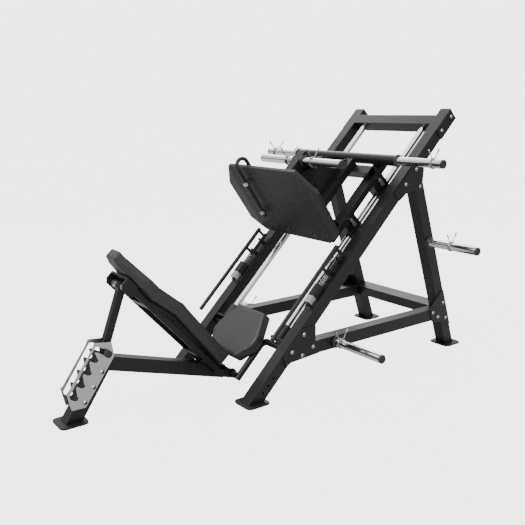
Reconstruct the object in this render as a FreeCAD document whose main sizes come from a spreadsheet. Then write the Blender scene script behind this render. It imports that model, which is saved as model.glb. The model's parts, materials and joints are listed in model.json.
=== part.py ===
import FreeCAD, Part
import math
import os
import Sketcher

# Incline leg press: a welded tube frame with two rails at 45 degrees, a plate-loaded
# carriage that slides on two guide rods, a padded seat with an adjustable back, and two
# swing-out safety levers.  Millimetres.  X is the width, +Y runs from the seat to the
# rear legs, Z is up.  The machine is symmetric about X = 0.

V = FreeCAD.Vector
doc = FreeCAD.newDocument("leg_press")
sheet = doc.addObject("Spreadsheet::Sheet", "dims")


class Size:
    """A number that remembers the spreadsheet expression it comes from."""

    def __init__(self, value, text):
        self.value = float(value)
        self.text = text

    def _join(self, other, sign, value, flip=False):
        if isinstance(other, Size):
            text = other.text
        else:
            text = "(%.9f)" % other
        if flip:
            return Size(value, "(%s %s %s)" % (text, sign, self.text))
        return Size(value, "(%s %s %s)" % (self.text, sign, text))

    def __add__(self, other):
        return self._join(other, "+", self.value + number(other))

    def __radd__(self, other):
        return self._join(other, "+", number(other) + self.value, True)

    def __sub__(self, other):
        return self._join(other, "-", self.value - number(other))

    def __rsub__(self, other):
        return self._join(other, "-", number(other) - self.value, True)

    def __mul__(self, other):
        return self._join(other, "*", self.value * number(other))

    def __rmul__(self, other):
        return self._join(other, "*", number(other) * self.value, True)

    def __truediv__(self, other):
        return self._join(other, "/", self.value / number(other))

    def __neg__(self):
        return Size(-self.value, "(0 - %s)" % self.text)


def number(item):
    return item.value if isinstance(item, Size) else float(item)


def words(item):
    return item.text if isinstance(item, Size) else "%.9f" % item


rows = []


def size(name, value):
    rows.append(name)
    cell = "B%d" % len(rows)
    sheet.set("A%d" % len(rows), name)
    sheet.set(cell, "%.6f" % value)
    sheet.setAlias(cell, name)
    return Size(value, "dims.%s" % name)


# ---------------------------------------------------------------- named sizes
tube = size("frame_tube", 75)
wall = size("frame_wall", 3)
weld_gap = size("weld_gap", 0.2)
rail_x = size("rail_centre_x", 369.5)
rail_end = size("rail_end", 2165)
cap_thick = size("rail_cap_thick", 4)
pad_side = size("floor_plate_side", 150)
pad_thick = size("floor_plate_thick", 10)
pad_corner = size("floor_plate_corner", 25)
rear_foot_y = size("rear_foot_y", 1646)
rail_foot_y = size("rail_foot_y", 10)
front_foot_y = size("front_foot_y", -862)
leg_tilt = size("rear_leg_tilt_deg", 19.57)
beam_low = size("side_beam_low", 202)
rear_cross_up = size("rear_crossbeam_up", 270)
top_cross_start = size("top_crossbeam_start", 2037)
plate_thick = size("gusset_thick", 5)
hole_r = size("rail_hole_r", 7)
bolt_r = size("bolt_head_r", 11)
bolt_head = size("bolt_head_high", 8)
guide_x = size("guide_rod_x", 257)
guide_r = size("guide_rod_r", 20)
guide_start = size("guide_rod_start", 392.4)
run_gap = size("running_gap", 0.05)
bumper_r = size("bumper_r", 30)
bumper_long = size("bumper_long", 90)
front_slope = size("front_leg_slope_deg", 56.5)
beam_slope = size("centre_beam_slope_deg", 16.8)
seat_x = size("seat_tube_x", 155)
seat_tube_r = size("seat_tube_r", 19)
seat_half = size("seat_half_width", 203)
seat_thick = size("seat_thick", 62)
seat_top = size("seat_top", 86)
horn_r = size("horn_r", 25)
horn_long = size("storage_horn_long", 342)
load_long = size("load_horn_long", 335)
collar_r = size("horn_collar_r", 37)
collar_thick = size("horn_collar_thick", 12)
cap_r = size("horn_cap_r", 24.8)
beam_x = size("carriage_beam_x", 257)
beam_wide = size("carriage_beam_wide", 70)
beam_deep = size("carriage_beam_deep", 40)
beam_n = size("carriage_beam_low", 95)
carriage_low = size("carriage_low", 1030)
carriage_high = size("carriage_high", 1640)
arm_x = size("push_arm_x", 134)
arm_side = size("push_arm_side", 50)
bridge = size("bridge_tube", 55)
bar_r = size("crossbar_r", 32.5)
bar_long = size("crossbar_half", 436)
bar_s = size("crossbar_s", 1606)
bar_n = size("crossbar_n", 178)
board_high = size("foot_board_high", 515)
board_half = size("foot_board_half", 418)
board_deep = size("foot_board_deep", 20)
board_sheet = size("foot_board_sheet", 5)
lever_in = size("lever_in_from_rail_centre", 2.5)
lever_x = rail_x - lever_in
lever_n = size("lever_n", 63)
lever_bar_n = size("lever_bar_n", 128)
lever_r = size("lever_tube_r", 12.5)
back_half = size("back_half_width", 120)
strut_side = size("strut_side", 38)
strut_pin_r = size("strut_pin_r", 8)
ladder_thick = size("ladder_thick", 6)

SHIFT = -(front_foot_y + rear_foot_y) / 2
half = tube / 2
ROOT2 = math.sqrt(2)


# ---------------------------------------------------------------- frames
class Frame:
    """Axes turned about X: u points along the member, v is u turned a quarter up."""

    def __init__(self, degrees, y=0.0, z=0.0):
        self.angle = degrees
        self.c = math.cos(math.radians(degrees))
        self.s = math.sin(math.radians(degrees))
        self.y = y
        self.z = z

    def point(self, x, u, v):
        y = self.y + u * self.c - v * self.s + SHIFT
        z = self.z + u * self.s + v * self.c
        return (x, y, z)


FLOOR = Frame(0)
RAIL = Frame(45)
REAR = Frame(90 + leg_tilt.value, 1641, 0)
FRONT = Frame(front_slope.value, front_foot_y, 0)
BEAM = Frame(-beam_slope.value, -622, 309)
BOARD = Frame(124.55, 624, 798)
BACK = Frame(132.5, -1, 151)

TURN = {
    "side": FreeCAD.Rotation(V(1, 1, 1), 120),
    "slab": FreeCAD.Rotation(),
    "along": FreeCAD.Rotation(V(1, 0, 0), -90),
    "path": FreeCAD.Rotation(V(0, 0, 1), 90),
    "section": FreeCAD.Rotation(V(1, 0, 0), 90),
    "hook": FreeCAD.Rotation(V(1, 1, 1), 120).multiply(FreeCAD.Rotation(V(1, 0, 0), 180)),
}


def put(obj, frame, x, u, v, kind):
    """Place an object; its position follows the sheet."""
    turn = FreeCAD.Rotation(V(1, 0, 0), frame.angle).multiply(TURN[kind])
    place = frame.point(x, u, v)
    obj.Placement = FreeCAD.Placement(V(*[number(c) for c in place]), turn)
    for axis, value in zip("xyz", place):
        if isinstance(value, Size):
            obj.setExpression("Placement.Base." + axis, words(value))


def plane(body, role):
    for feature in body.Origin.OriginFeatures:
        if feature.Role == role:
            return feature
    raise RuntimeError("no plane " + role)


finished = []


def body_start(name):
    body = doc.addObject("PartDesign::Body", name)
    body.Label = name
    finished.append(body)
    return body


def part_of_group(obj):
    """Take an object off the list, because a group will carry it."""
    finished.remove(obj)
    return obj


def fix(sketch, kind, geo, point, value, label):
    at = sketch.addConstraint(Sketcher.Constraint(kind, geo, point, number(value)))
    sketch.renameConstraint(at, label)
    if isinstance(value, Size):
        sketch.setExpression("Constraints." + label, words(value))


def fix_radius(sketch, geo, value, label):
    at = sketch.addConstraint(Sketcher.Constraint("Radius", geo, number(value)))
    sketch.renameConstraint(at, label)
    if isinstance(value, Size):
        sketch.setExpression("Constraints." + label, words(value))


def draw(body, name, outline, circles=(), lift=0.0, role="XY_Plane"):
    """A closed outline and round holes, every corner tied to its own value."""
    sketch = body.newObject("Sketcher::SketchObject", name)
    sketch.AttachmentSupport = [(plane(body, role), "")]
    sketch.MapMode = "FlatFace"
    sketch.AttachmentOffset = FreeCAD.Placement(V(0, 0, number(lift)), FreeCAD.Rotation())
    if isinstance(lift, Size):
        sketch.setExpression("AttachmentOffset.Base.z", words(lift))
    count = len(outline)
    spots = [V(number(a), number(b), 0) for a, b in outline]
    for i in range(count):
        sketch.addGeometry(Part.LineSegment(spots[i], spots[(i + 1) % count]))
    for i in range(count):
        sketch.addConstraint(Sketcher.Constraint("Coincident", i, 2, (i + 1) % count, 1))
    for i, (a, b) in enumerate(outline):
        fix(sketch, "DistanceX", i, 1, a, "across_%d" % i)
        fix(sketch, "DistanceY", i, 1, b, "up_%d" % i)
    for j, (a, b, r) in enumerate(circles):
        ring = Part.Circle(V(number(a), number(b), 0), V(0, 0, 1), number(r))
        geo = sketch.addGeometry(ring)
        fix(sketch, "DistanceX", geo, 3, a, "hole_across_%d" % j)
        fix(sketch, "DistanceY", geo, 3, b, "hole_up_%d" % j)
        fix_radius(sketch, geo, r, "hole_r_%d" % j)
    return sketch


def pad(body, sketch, length):
    feature = body.newObject("PartDesign::Pad", sketch.Name + "_pad")
    feature.Profile = sketch
    feature.Length = number(length)
    if isinstance(length, Size):
        feature.setExpression("Length", words(length))
    sketch.Visibility = False
    return feature


def pocket(body, sketch, length):
    """Cut upward from the sketch."""
    doc.recompute()
    before = body.Shape.Volume
    feature = body.newObject("PartDesign::Pocket", sketch.Name + "_cut")
    feature.Profile = sketch
    feature.Length = number(length)
    feature.Reversed = True
    if isinstance(length, Size):
        feature.setExpression("Length", words(length))
    doc.recompute()
    if body.Shape.Volume > before - 1:
        raise RuntimeError("nothing was cut from " + body.Label)
    return feature


def drill(body, name, spots, radius, lift, depth):
    """Round holes cut from one flat side."""
    sketch = body.newObject("Sketcher::SketchObject", name)
    sketch.AttachmentSupport = [(plane(body, "XY_Plane"), "")]
    sketch.MapMode = "FlatFace"
    sketch.AttachmentOffset = FreeCAD.Placement(V(0, 0, number(lift)), FreeCAD.Rotation())
    if isinstance(lift, Size):
        sketch.setExpression("AttachmentOffset.Base.z", words(lift))
    for j, (a, b) in enumerate(spots):
        ring = Part.Circle(V(number(a), number(b), 0), V(0, 0, 1), number(radius))
        geo = sketch.addGeometry(ring)
        fix(sketch, "DistanceX", geo, 3, a, "hole_across_%d" % j)
        fix(sketch, "DistanceY", geo, 3, b, "hole_up_%d" % j)
        fix_radius(sketch, geo, radius, "hole_r_%d" % j)
    pocket(body, sketch, depth)


def plate(name, frame, outline, x, thick, circles=(), kind="side"):
    """A flat plate: outline in (u, v), thickness along X from x."""
    body = body_start(name)
    pad(body, draw(body, name + "_outline", outline, circles), thick)
    put(body, frame, x, 0.0, 0.0, kind)
    return body


def tube_side(name, frame, corners, x_mid, wide, skin):
    """A hollow member seen from the side; corners run low start, low end, high end,
    high start, so either end may be cut at a slant."""
    body = body_start(name)
    pad(body, draw(body, name + "_outline", corners), wide)
    low_a, low_b, high_b, high_a = corners
    past = 200
    inner = [
        (low_a[0] - past, low_a[1] + skin),
        (low_b[0] + past, low_b[1] + skin),
        (high_b[0] + past, high_b[1] - skin),
        (high_a[0] - past, high_a[1] - skin),
    ]
    pocket(body, draw(body, name + "_hollow", inner, (), skin), wide - skin * 2)
    put(body, frame, x_mid - wide / 2, 0.0, 0.0, "side")
    return body


def tube_cross(name, frame, u_mid, v_mid, side_u, side_v, x_low, x_high, skin):
    """A square tube lying across the machine."""
    outer = box_outline(u_mid, v_mid, side_u, side_v)
    inner = box_outline(u_mid, v_mid, side_u - skin * 2, side_v - skin * 2)
    body = body_start(name)
    pad(body, draw(body, name + "_outline", outer), x_high - x_low)
    pocket(body, draw(body, name + "_hollow", inner), x_high - x_low)
    put(body, frame, x_low, 0.0, 0.0, "side")
    return body


def box_outline(u_mid, v_mid, side_u, side_v):
    du = side_u / 2
    dv = side_v / 2
    return [(u_mid - du, v_mid - dv), (u_mid + du, v_mid - dv),
            (u_mid + du, v_mid + dv), (u_mid - du, v_mid + dv)]


def slab(name, frame, outline, v, thick):
    """A board: outline in (x, u), thickness along v."""
    body = body_start(name)
    pad(body, draw(body, name + "_outline", outline), thick)
    put(body, frame, 0.0, 0.0, v, "slab")
    return body


def cylinder(name, frame, x, u, v, radius, length, way, keep=False):
    """A round bar: way is 'x' across, 'u' along the member or 'v' out of it."""
    item = doc.addObject("Part::Cylinder", name)
    item.Label = name
    for prop, value in (("Radius", radius), ("Height", length)):
        setattr(item, prop, number(value))
        if isinstance(value, Size):
            item.setExpression(prop, words(value))
    put(item, frame, x, u, v, {"x": "side", "u": "along", "v": "slab"}[way])
    if keep:
        finished.append(item)
    return item


def block(name, frame, x, u, v, wide, along, deep):
    """A plain block from its low corner."""
    item = doc.addObject("Part::Box", name)
    item.Label = name
    for prop, value in (("Length", wide), ("Width", along), ("Height", deep)):
        setattr(item, prop, number(value))
        if isinstance(value, Size):
            item.setExpression(prop, words(value))
    put(item, frame, x, u, v, "slab")
    return item


def group(name, items):
    """Separate solids of the same sort kept in one node."""
    bundle = doc.addObject("Part::Compound", name)
    bundle.Label = name
    bundle.Links = items
    finished.append(bundle)
    return bundle


def joined(name, items, keep=True):
    whole = doc.addObject("Part::MultiFuse", name)
    whole.Label = name
    whole.Shapes = items
    if keep:
        finished.append(whole)
    return whole


def cut(name, base, tool, keep=True):
    result = doc.addObject("Part::Cut", name)
    result.Label = name
    result.Base = base
    result.Tool = tool
    if keep:
        finished.append(result)
    return result


def ring(name, frame, x, u, v, radius, hole, length, way, keep=False):
    outer = cylinder(name + "_outer", frame, x, u, v, radius, length, way)
    inner = cylinder(name + "_bore", frame, x, u, v, hole, length, way)
    return cut(name, outer, inner, keep)


SIDES = (("left", -1), ("right", 1))

# ---------------------------------------------------------------- rails and legs
caps = []
for side, sign in SIDES:
    x = rail_x * sign
    foot_low = pad_thick * ROOT2 + half + weld_gap
    foot_high = pad_thick * ROOT2 - half + weld_gap
    rail = tube_side("rail_" + side, RAIL,
              [(foot_low, -half), (rail_end, -half), (rail_end, half), (foot_high, half)],
              x, tube, wall)
    drill(rail, "rail_holes_" + side, [(179, 0.0), (129, 0.0), (79, 0.0)], hole_r,
          tube - wall - 0.5 if sign > 0 else -0.5, wall + 1)
    cap = box_outline(0.0, 0.0, tube, tube)
    body = body_start("rail_cap_" + side)
    pad(body, draw(body, "rail_cap_outline_" + side, cap), cap_thick)
    put(body, RAIL, x, rail_end + 0.1, 0.0, "along")
    caps.append(part_of_group(body))

    # rear leg: from its floor plate to the underside of the rail
    under = half + weld_gap

    def leg_foot(v):
        return (pad_thick + weld_gap - v * REAR.c) / REAR.s

    def leg_top(v):
        reach = 1641 - under * ROOT2 - v * (REAR.c + REAR.s)
        return reach / (REAR.s - REAR.c)

    tube_side("rear_leg_" + side, REAR,
              [(leg_foot(-half), -half), (leg_top(-half), -half),
               (leg_top(half), half), (leg_foot(half), half)],
              x, tube, wall)

    # side beam: level, from the rail to the rear leg
    def at_rail(z):
        return z + under * ROOT2

    def at_leg(z):
        return 1641 + z * (REAR.c / REAR.s) - under / REAR.s

    high = beam_low + tube
    tube_side("side_beam_" + side, FLOOR,
              [(at_rail(beam_low), beam_low), (at_leg(beam_low), beam_low),
               (at_leg(high), high), (at_rail(high), high)],
              x, tube, wall)

group("rail_caps", caps)
inside = rail_x - half - weld_gap
tube_cross("rear_crossbeam", REAR, rear_cross_up, 0.0, tube, tube, -inside, inside, wall)
tube_cross("top_crossbeam", RAIL, top_cross_start + half, 0.0, tube, tube,
           -inside, inside, wall)

# ---------------------------------------------------------------- front leg and beam
LEG_CUT = -0.308


def front_foot(v):
    return (pad_thick + weld_gap - v * FRONT.c) / FRONT.s


def front_top(v):
    return 381 + v * LEG_CUT


tube_side("front_leg", FRONT,
          [(front_foot(-half), -half), (front_top(-half), -half),
           (front_top(half), half), (front_foot(half), half)],
          0.0, tube, wall)

# pivot of the back: the round tube across the foot of the seat
pivot_y = 72
pivot_z = 66
pivot_u = (pivot_y + 622) * BEAM.c + (pivot_z - 309) * BEAM.s
beam_far = pivot_u - seat_tube_r - weld_gap


def beam_near(v):
    # where a line along the beam meets the rear face of the front leg
    along = -BEAM.c * FRONT.s + BEAM.s * FRONT.c
    out = BEAM.s * FRONT.s + BEAM.c * FRONT.c
    start = (front_foot_y - BEAM.y) * FRONT.s + BEAM.z * FRONT.c
    return (-half - weld_gap - start - v * out) / along


tube_side("centre_beam", BEAM,
          [(beam_near(-tube), -tube), (beam_far, -tube), (beam_far, 0.0 * tube),
           (beam_near(0.0 * tube), 0.0 * tube)],
          0.0, tube, wall)

# ---------------------------------------------------------------- floor plates
plate_half = pad_side / 2
c = pad_corner * 0.3
k = pad_corner


def foot(name, x, y):
    e = plate_half
    outline = [(-e + k, -e), (e - k, -e), (e - c, -e + c), (e, -e + k), (e, e - k),
               (e - c, e - c), (e - k, e), (-e + k, e), (-e + c, e - c), (-e, e - k),
               (-e, -e + k), (-e + c, -e + c)]
    body = body_start(name)
    pad(body, draw(body, name + "_outline", outline), pad_thick)
    put(body, Frame(0, y, 0.0), x, 0.0, 0.0, "slab")
    return part_of_group(body)


feet = [foot("floor_plate_front", 0.0, front_foot_y)]
for side, sign in SIDES:
    feet.append(foot("floor_plate_rail_" + side, rail_x * sign, rail_foot_y))
    feet.append(foot("floor_plate_rear_" + side, rail_x * sign, rear_foot_y))
group("floor_plates", feet)

# ---------------------------------------------------------------- gussets
UPPER = [(1480, 30), (1765, 30), (1757, -56), (1700, -105), (1672, -128), (1556, -52),
         (1480, -37)]
LOWER = [(188, 236), (322, 370), (423, 370), (423, 277), (450, 277), (450, 202),
         (372, 197), (244, 188), (209, 168)]
REARG = [(1540, 395), (1629, 146), (1441, 198), (1413, 283), (1521, 395)]
TOPP = [(1985, -42), (2165, -42), (2165, 37), (1985, 37)]
UPPER_BOLTS = [(1706, -7), (1583, -5), (1662, -112)]
LOWER_BOLTS = [(337, 334), (252, 248), (405, 249), (326, 214)]
REAR_BOLTS = [(1446, 257), (1500, 219), (1579, 199), (1544, 308)]
TOP_BOLTS = [(2019, 0), (2138, 0)]


def side_x(sign, offset, thick):
    """Low X of a plate that starts offset from the rail centre, outward."""
    if sign > 0:
        return rail_x + offset
    return -rail_x - offset - thick


heads = []
for side, sign in SIDES:
    out = half + weld_gap
    x = side_x(sign, out, plate_thick)
    parts = []
    for word, frame, outline in (("upper", RAIL, UPPER), ("lower", FLOOR, LOWER),
                                 ("rear", FLOOR, REARG), ("top", RAIL, TOPP)):
        name = "%s_gusset_%s" % (word, side)
        parts.append(part_of_group(plate(name, frame, outline, x, plate_thick)))
    group("gussets_" + side, parts)
    for word, frame, spots in (("upper", RAIL, UPPER_BOLTS), ("lower", FLOOR, LOWER_BOLTS),
                               ("rear", FLOOR, REAR_BOLTS), ("top", RAIL, TOP_BOLTS)):
        for i, (u, v) in enumerate(spots):
            xb = side_x(sign, out + plate_thick + weld_gap / 2, bolt_head)
            heads.append(cylinder("bolt_%s_%s_%d" % (word, side, i), frame, xb, u, v,
                                  bolt_r, bolt_head, "x"))

# ---------------------------------------------------------------- guide rods
bumpers = []
brackets = []
for side, sign in SIDES:
    x = guide_x * sign
    rod_end = top_cross_start - weld_gap
    cylinder("guide_rod_" + side, RAIL, x, guide_start, 0.0, guide_r,
             rod_end - guide_start, "u", True)
    bumpers.append(ring("bumper_" + side, RAIL, x, guide_start + weld_gap, 0.0,
                        bumper_r, guide_r + weld_gap, bumper_long, "u"))
    low = (guide_x - 34) * sign
    wide = (rail_x - half - weld_gap) - (guide_x - 34)
    start = low if sign > 0 else low - wide
    brackets.append(block("rod_bracket_" + side, RAIL, start, guide_start - 14.2, -32,
                          wide, 14, 64))
group("bumpers", bumpers)
group("rod_brackets", brackets)

# ---------------------------------------------------------------- storage horns
def horn(word, frame, x, u, v, sign, length, clip_at, sleeves, collars):
    """Base collar, sleeve and end cap, reaching outward along X."""
    def low(offset, long):
        return x + offset if sign > 0 else x - offset - long
    collars.append(cylinder("collar_" + word, frame, low(0.1, collar_thick), u, v,
                            collar_r, collar_thick, "x"))
    begin = collar_thick + 0.2
    sleeves.append(ring("sleeve_" + word, frame, low(begin, length), u, v, horn_r,
                        horn_r - 4, length, "x"))
    end = begin + length + 0.1
    collars.append(cylinder("cap_" + word, frame, low(end, collar_thick), u, v, cap_r,
                            collar_thick, "x"))
    return ring("clip_" + word, frame, low(clip_at, 10), u, v, horn_r + 5,
                horn_r + run_gap, 10, "x")


sleeves = []
collars = []
clips = []
for side, sign in SIDES:
    base = (rail_x + half + weld_gap) * sign
    clips.append(horn("side_" + side, FLOOR, base, 587, 239, sign, horn_long, 40, sleeves,
                      collars))
    clips.append(horn("rear_" + side, FLOOR, base, 1373, 733, sign, horn_long, 165, sleeves,
                      collars))
group("storage_sleeves", sleeves)
group("storage_ends", collars)
group("storage_clips", clips)

# ---------------------------------------------------------------- seat
lower_u = (pivot_y + pivot_z) / ROOT2
lower_v = (pivot_z - pivot_y) / ROOT2
cross_half = seat_x - seat_tube_r - weld_gap
cross_outer = cylinder("seat_cross_tube", RAIL, -cross_half, lower_u, lower_v,
                       seat_tube_r, cross_half * 2, "x", True)

seat_bend = 40
for side, sign in SIDES:
    # from the front of the seat up to the bend, then out to the rail
    body = body_start("seat_tube_" + side)
    path = body.newObject("Sketcher::SketchObject", "seat_path_" + side)
    path.AttachmentSupport = [(plane(body, "XY_Plane"), "")]
    path.MapMode = "FlatFace"
    run = 232.0
    out = rail_x - half - weld_gap - seat_x - seat_bend
    turn = -sign
    path.addGeometry(Part.LineSegment(V(0, 0, 0), V(run, 0, 0)))
    if turn < 0:
        arc = Part.ArcOfCircle(Part.Circle(V(run, -seat_bend, 0), V(0, 0, 1), seat_bend),
                               0, math.pi / 2)
        ends = (2, 1)
    else:
        arc = Part.ArcOfCircle(Part.Circle(V(run, seat_bend, 0), V(0, 0, 1), seat_bend),
                               -math.pi / 2, 0)
        ends = (1, 2)
    path.addGeometry(arc)
    path.addGeometry(Part.LineSegment(V(run + seat_bend, turn * seat_bend, 0),
                                      V(run + seat_bend,
                                        turn * (seat_bend + out.value), 0)))
    path.addConstraint(Sketcher.Constraint("Coincident", 0, 2, 1, ends[0]))
    path.addConstraint(Sketcher.Constraint("Coincident", 1, ends[1], 2, 1))
    fix(path, "DistanceX", 0, 1, 0.0, "start_x")
    fix(path, "DistanceY", 0, 1, 0.0, "start_y")
    fix(path, "DistanceX", 0, 2, run, "run_x")
    fix(path, "DistanceY", 0, 2, 0.0, "run_y")
    fix(path, "DistanceX", 2, 1, run + seat_bend, "turn_x")
    fix(path, "DistanceY", 2, 1, turn * seat_bend, "turn_y")
    fix(path, "DistanceX", 2, 2, run + seat_bend, "end_x")
    fix(path, "DistanceY", 2, 2, turn * (seat_bend + out), "end_y")
    fix_radius(path, 1, seat_bend, "bend")
    section = body.newObject("Sketcher::SketchObject", "seat_section_" + side)
    section.AttachmentSupport = [(plane(body, "YZ_Plane"), "")]
    section.MapMode = "FlatFace"
    for j, r in enumerate((seat_tube_r, seat_tube_r - 3)):
        section.addGeometry(Part.Circle(V(0, 0, 0), V(0, 0, 1), r.value))
        section.addConstraint(Sketcher.Constraint("Coincident", j, 3, -1, 1))
        fix_radius(section, j, r, "ring_%d" % j)
    sweep = body.newObject("PartDesign::AdditivePipe", "seat_sweep_" + side)
    sweep.Profile = section
    sweep.Spine = path
    put(body, RAIL, seat_x * sign, 80.0, lower_v, "path")

w = seat_half
seat_outline = [(-130, 483), (-w, 333), (-w, 270), (-128, 170), (128, 170), (w, 270),
                (w, 333), (130, 483)]
seat_low = seat_top - seat_thick
slab("seat_pad", RAIL, seat_outline, seat_low, seat_thick)
inner = w - 18
seat_board = [(-118, 468), (-inner, 328), (-inner, 275), (-118, 184), (118, 184),
              (inner, 275), (inner, 328), (118, 468)]
board_gap = seat_low - weld_gap
tube_top = seat_tube_r + lower_v + weld_gap
slab("seat_board", RAIL, seat_board, tube_top, board_gap - tube_top)

# ---------------------------------------------------------------- ladder plates
LADDER = [(102, -14), (63, 48), (132, 120), (147, 113), (377, 108), (410, 113),
          (453, 31), (419, 0), (394, -22)]
SEATS = (125, 195, 265, 335)


def ladder_slot():
    """One closed slot: a channel beside the edge with four hooked seats and a top
    window."""
    points = [(112, 84), (112, 62), (118, 46), (132, 44), (137, 56)]
    for p in SEATS[1:]:
        points += [(p - 22, 84), (p - 12, 84), (p - 13, 62), (p - 7, 46), (p + 7, 44),
                   (p + 12, 56)]
    points += [(369, 84), (377, 70), (377, 30), (383, 14), (398, 14), (405, 26),
               (405, 78), (398, 98), (123, 98)]
    return points


for side, sign in SIDES:
    x = half + weld_gap if sign > 0 else -half - weld_gap - ladder_thick
    body = plate("ladder_plate_" + side, FRONT, LADDER, x, ladder_thick)
    pocket(body, draw(body, "ladder_slot_" + side, ladder_slot()), ladder_thick)
for side, sign in SIDES:
    for i, (y, z) in enumerate(((-697, 245), (-747, 174), (-796, 105))):
        off = half + weld_gap * 1.5 + ladder_thick
        x = off if sign > 0 else -off - 7
        heads.append(cylinder("ladder_bolt_%s_%d" % (side, i), FLOOR, x, y, z, 9,
                              7, "x"))
group("frame_bolts", heads)

# ---------------------------------------------------------------- back
back_front = [(-570, 863), (-545, 828), (-384, 651), (-246, 541), (45, 189)]
back_rear = [(-12.8, 141.2), (-300, 487), (-437, 595), (-590, 786), (-611, 828)]
profile = plate("back_profile", FLOOR, back_front + back_rear, -back_half, back_half * 2)
finished.remove(profile)
top_along = 905
b = back_half
plan = slab("back_plan", BACK,
            [(-b + 18, -45), (b - 18, -45), (b, 40), (b, 700), (40, top_along + 30),
             (-40, top_along + 30), (-b, 700), (-b, 40)], -120, 400)
finished.remove(plan)
back_pad = doc.addObject("Part::Common", "back_pad")
back_pad.Label = "back_pad"
back_pad.Base = profile
back_pad.Tool = plan
finished.append(back_pad)

# thin board under the pad, following its bends
board = [(-12.8, 141.2), (-300, 487), (-437, 595), (-493.6, 665.7)]
near = [(y - 0.16, z - 0.14) for y, z in board]
far = [(y - 6.5, z - 5.6) for y, z in reversed(board)]
plate("back_board", FLOOR, near + far, -100, 200)

# two flat arms from the seat tube up to the strut bracket
pivot = ((pivot_y + 1) * BACK.c + (pivot_z - 151) * BACK.s,
         -(pivot_y + 1) * BACK.s + (pivot_z - 151) * BACK.c)
strut_top = ((-550 + 1) * BACK.c + (665 - 151) * BACK.s,
             -(-550 + 1) * BACK.s + (665 - 151) * BACK.c)


ARM_THICK = 12
arm_in = size("back_arm_x", 84)
arms = []
u0, v0 = pivot
u1, v1 = strut_top
arm_outline = [(u0 - 27, v0 - 10), (u0 - 12, v0 - 27), (u0 + 14, v0 - 27),
               (u0 + 32, v0 - 12), (-40, 32), (717, 32), (719, 16.5), (u1 + 50, 16.5), (u1 + 50, 62),
               (u1 + 30, 84), (u1 - 30, 84), (u1 - 50, 62), (u0 + 52, 62),
               (u0 - 27, v0 + 13)]
for side, sign in SIDES:
    x = arm_in if sign > 0 else -arm_in - ARM_THICK
    arms.append(part_of_group(plate("back_arm_" + side, BACK, arm_outline, x, ARM_THICK,
                                    [(u0, v0, seat_tube_r + run_gap)])))
group("back_arms", arms)
rungs = []
rung_half = arm_in - weld_gap
for i, (u, low) in enumerate(((120, 19.7), (600, 30.2))):
    rungs.append(part_of_group(tube_cross("back_rung_%d" % i, BACK, u, (low + 60) / 2, 38,
                                          60 - low, -rung_half, rung_half, 3)))
rungs.append(block("back_bracket", BACK, -rung_half, 722, 15.6, rung_half * 2, 80, 13))
group("back_rungs", rungs)
ring("back_pivot_tube", BACK, -rung_half, u1, v1, 20, 14, rung_half * 2, "x", True)

# strut from the back down to the ladder
strut_long = 345
STRUT = Frame(math.degrees(math.atan2(340.1 - 665, -665.6 + 550)), -550, 665)
e = strut_side / 2
strut_outline = [(-25, -11), (-11, -25), (11, -25), (25, -e), (strut_long - 6, -e),
                 (strut_long + 11, -9), (strut_long + 11, 9), (strut_long - 6, e),
                 (25, e), (11, 25), (-11, 25), (-25, 11)]
plate("strut", STRUT, strut_outline, -e, strut_side,
      [(0, 0, 20 + run_gap), (strut_long, 0, strut_pin_r + run_gap)])
pin_half = half - 1
cylinder("strut_pin", STRUT, -pin_half, strut_long, 0.0, strut_pin_r, pin_half * 2, "x",
         True)

knob_in = half + weld_gap + ladder_thick + 0.4
cylinder("strut_knob", STRUT, knob_in, strut_long, 0.0, 19, 24, "x", True)

# ---------------------------------------------------------------- safety levers
lugs = []
stops = []
springs = []
rod_r = size("lever_rod_r", 11)
for side, sign in SIDES:
    x = lever_x * sign
    rod = cylinder("lever_rod_" + side, RAIL, x, 620, lever_n, rod_r, 380, "u")
    bar = cylinder("lever_bar_" + side, RAIL, x, 335, lever_bar_n, lever_r, 660, "u")
    rise = lever_bar_n - lever_n
    link_a = cylinder("lever_link_low_" + side, RAIL, x, 840, lever_n, 9, rise, "v")
    link_b = cylinder("lever_link_high_" + side, RAIL, x, 982, lever_n, 9, rise, "v")
    joined("safety_lever_" + side, [rod, bar, link_a, link_b])

    def lug(name, u, long, wide, tall):
        low_n = half + weld_gap
        solid = block(name + "_solid", RAIL, x - wide / 2, u, low_n, wide, long,
                      lever_n + tall - low_n)
        hole = cylinder(name + "_hole", RAIL, x, u - 1, lever_n, rod_r + run_gap,
                        long + 2, "u")
        return cut(name, solid, hole, False)

    lugs.append(lug("lug_low_" + side, 853, 14, 34, 17))
    lugs.append(lug("lug_high_" + side, 940, 14, 34, 17))
    lugs.append(lug("lug_block_" + side, 680, 76, 44, 21))
    stops.append(lug("lug_stop_" + side, 632, 46, 40, 19))
    springs.append(ring("lever_spring_%s" % side, RAIL, x, 756.2, lever_n, 17, 14, 74, "u"))
group("lever_lugs", lugs)
group("lever_stops", stops)
group("lever_springs", springs)

# ---------------------------------------------------------------- carriage
beam_top = beam_n + beam_deep
for side, sign in SIDES:
    tube_side("carriage_beam_" + side, RAIL,
              [(carriage_low, beam_n), (carriage_high, beam_n),
               (carriage_high, beam_top), (carriage_low, beam_top)],
              beam_x * sign, beam_wide, wall)
    blocks = []
    neck = beam_n - weld_gap
    shape = [(-35, -20), (-20, -35), (20, -35), (35, -20), (35, neck), (-35, neck)]
    for word, end in (("low", 1250), ("high", 1567)):
        body = body_start("bearing_%s_%s" % (word, side))
        pad(body, draw(body, "bearing_outline_%s_%s" % (word, side), shape,
                       [(0.0, 0.0, guide_r + run_gap)]), 100)
        put(body, RAIL, guide_x * sign, end, 0.0, "section")
        blocks.append(part_of_group(body))
    group("bearings_" + side, blocks)

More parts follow.
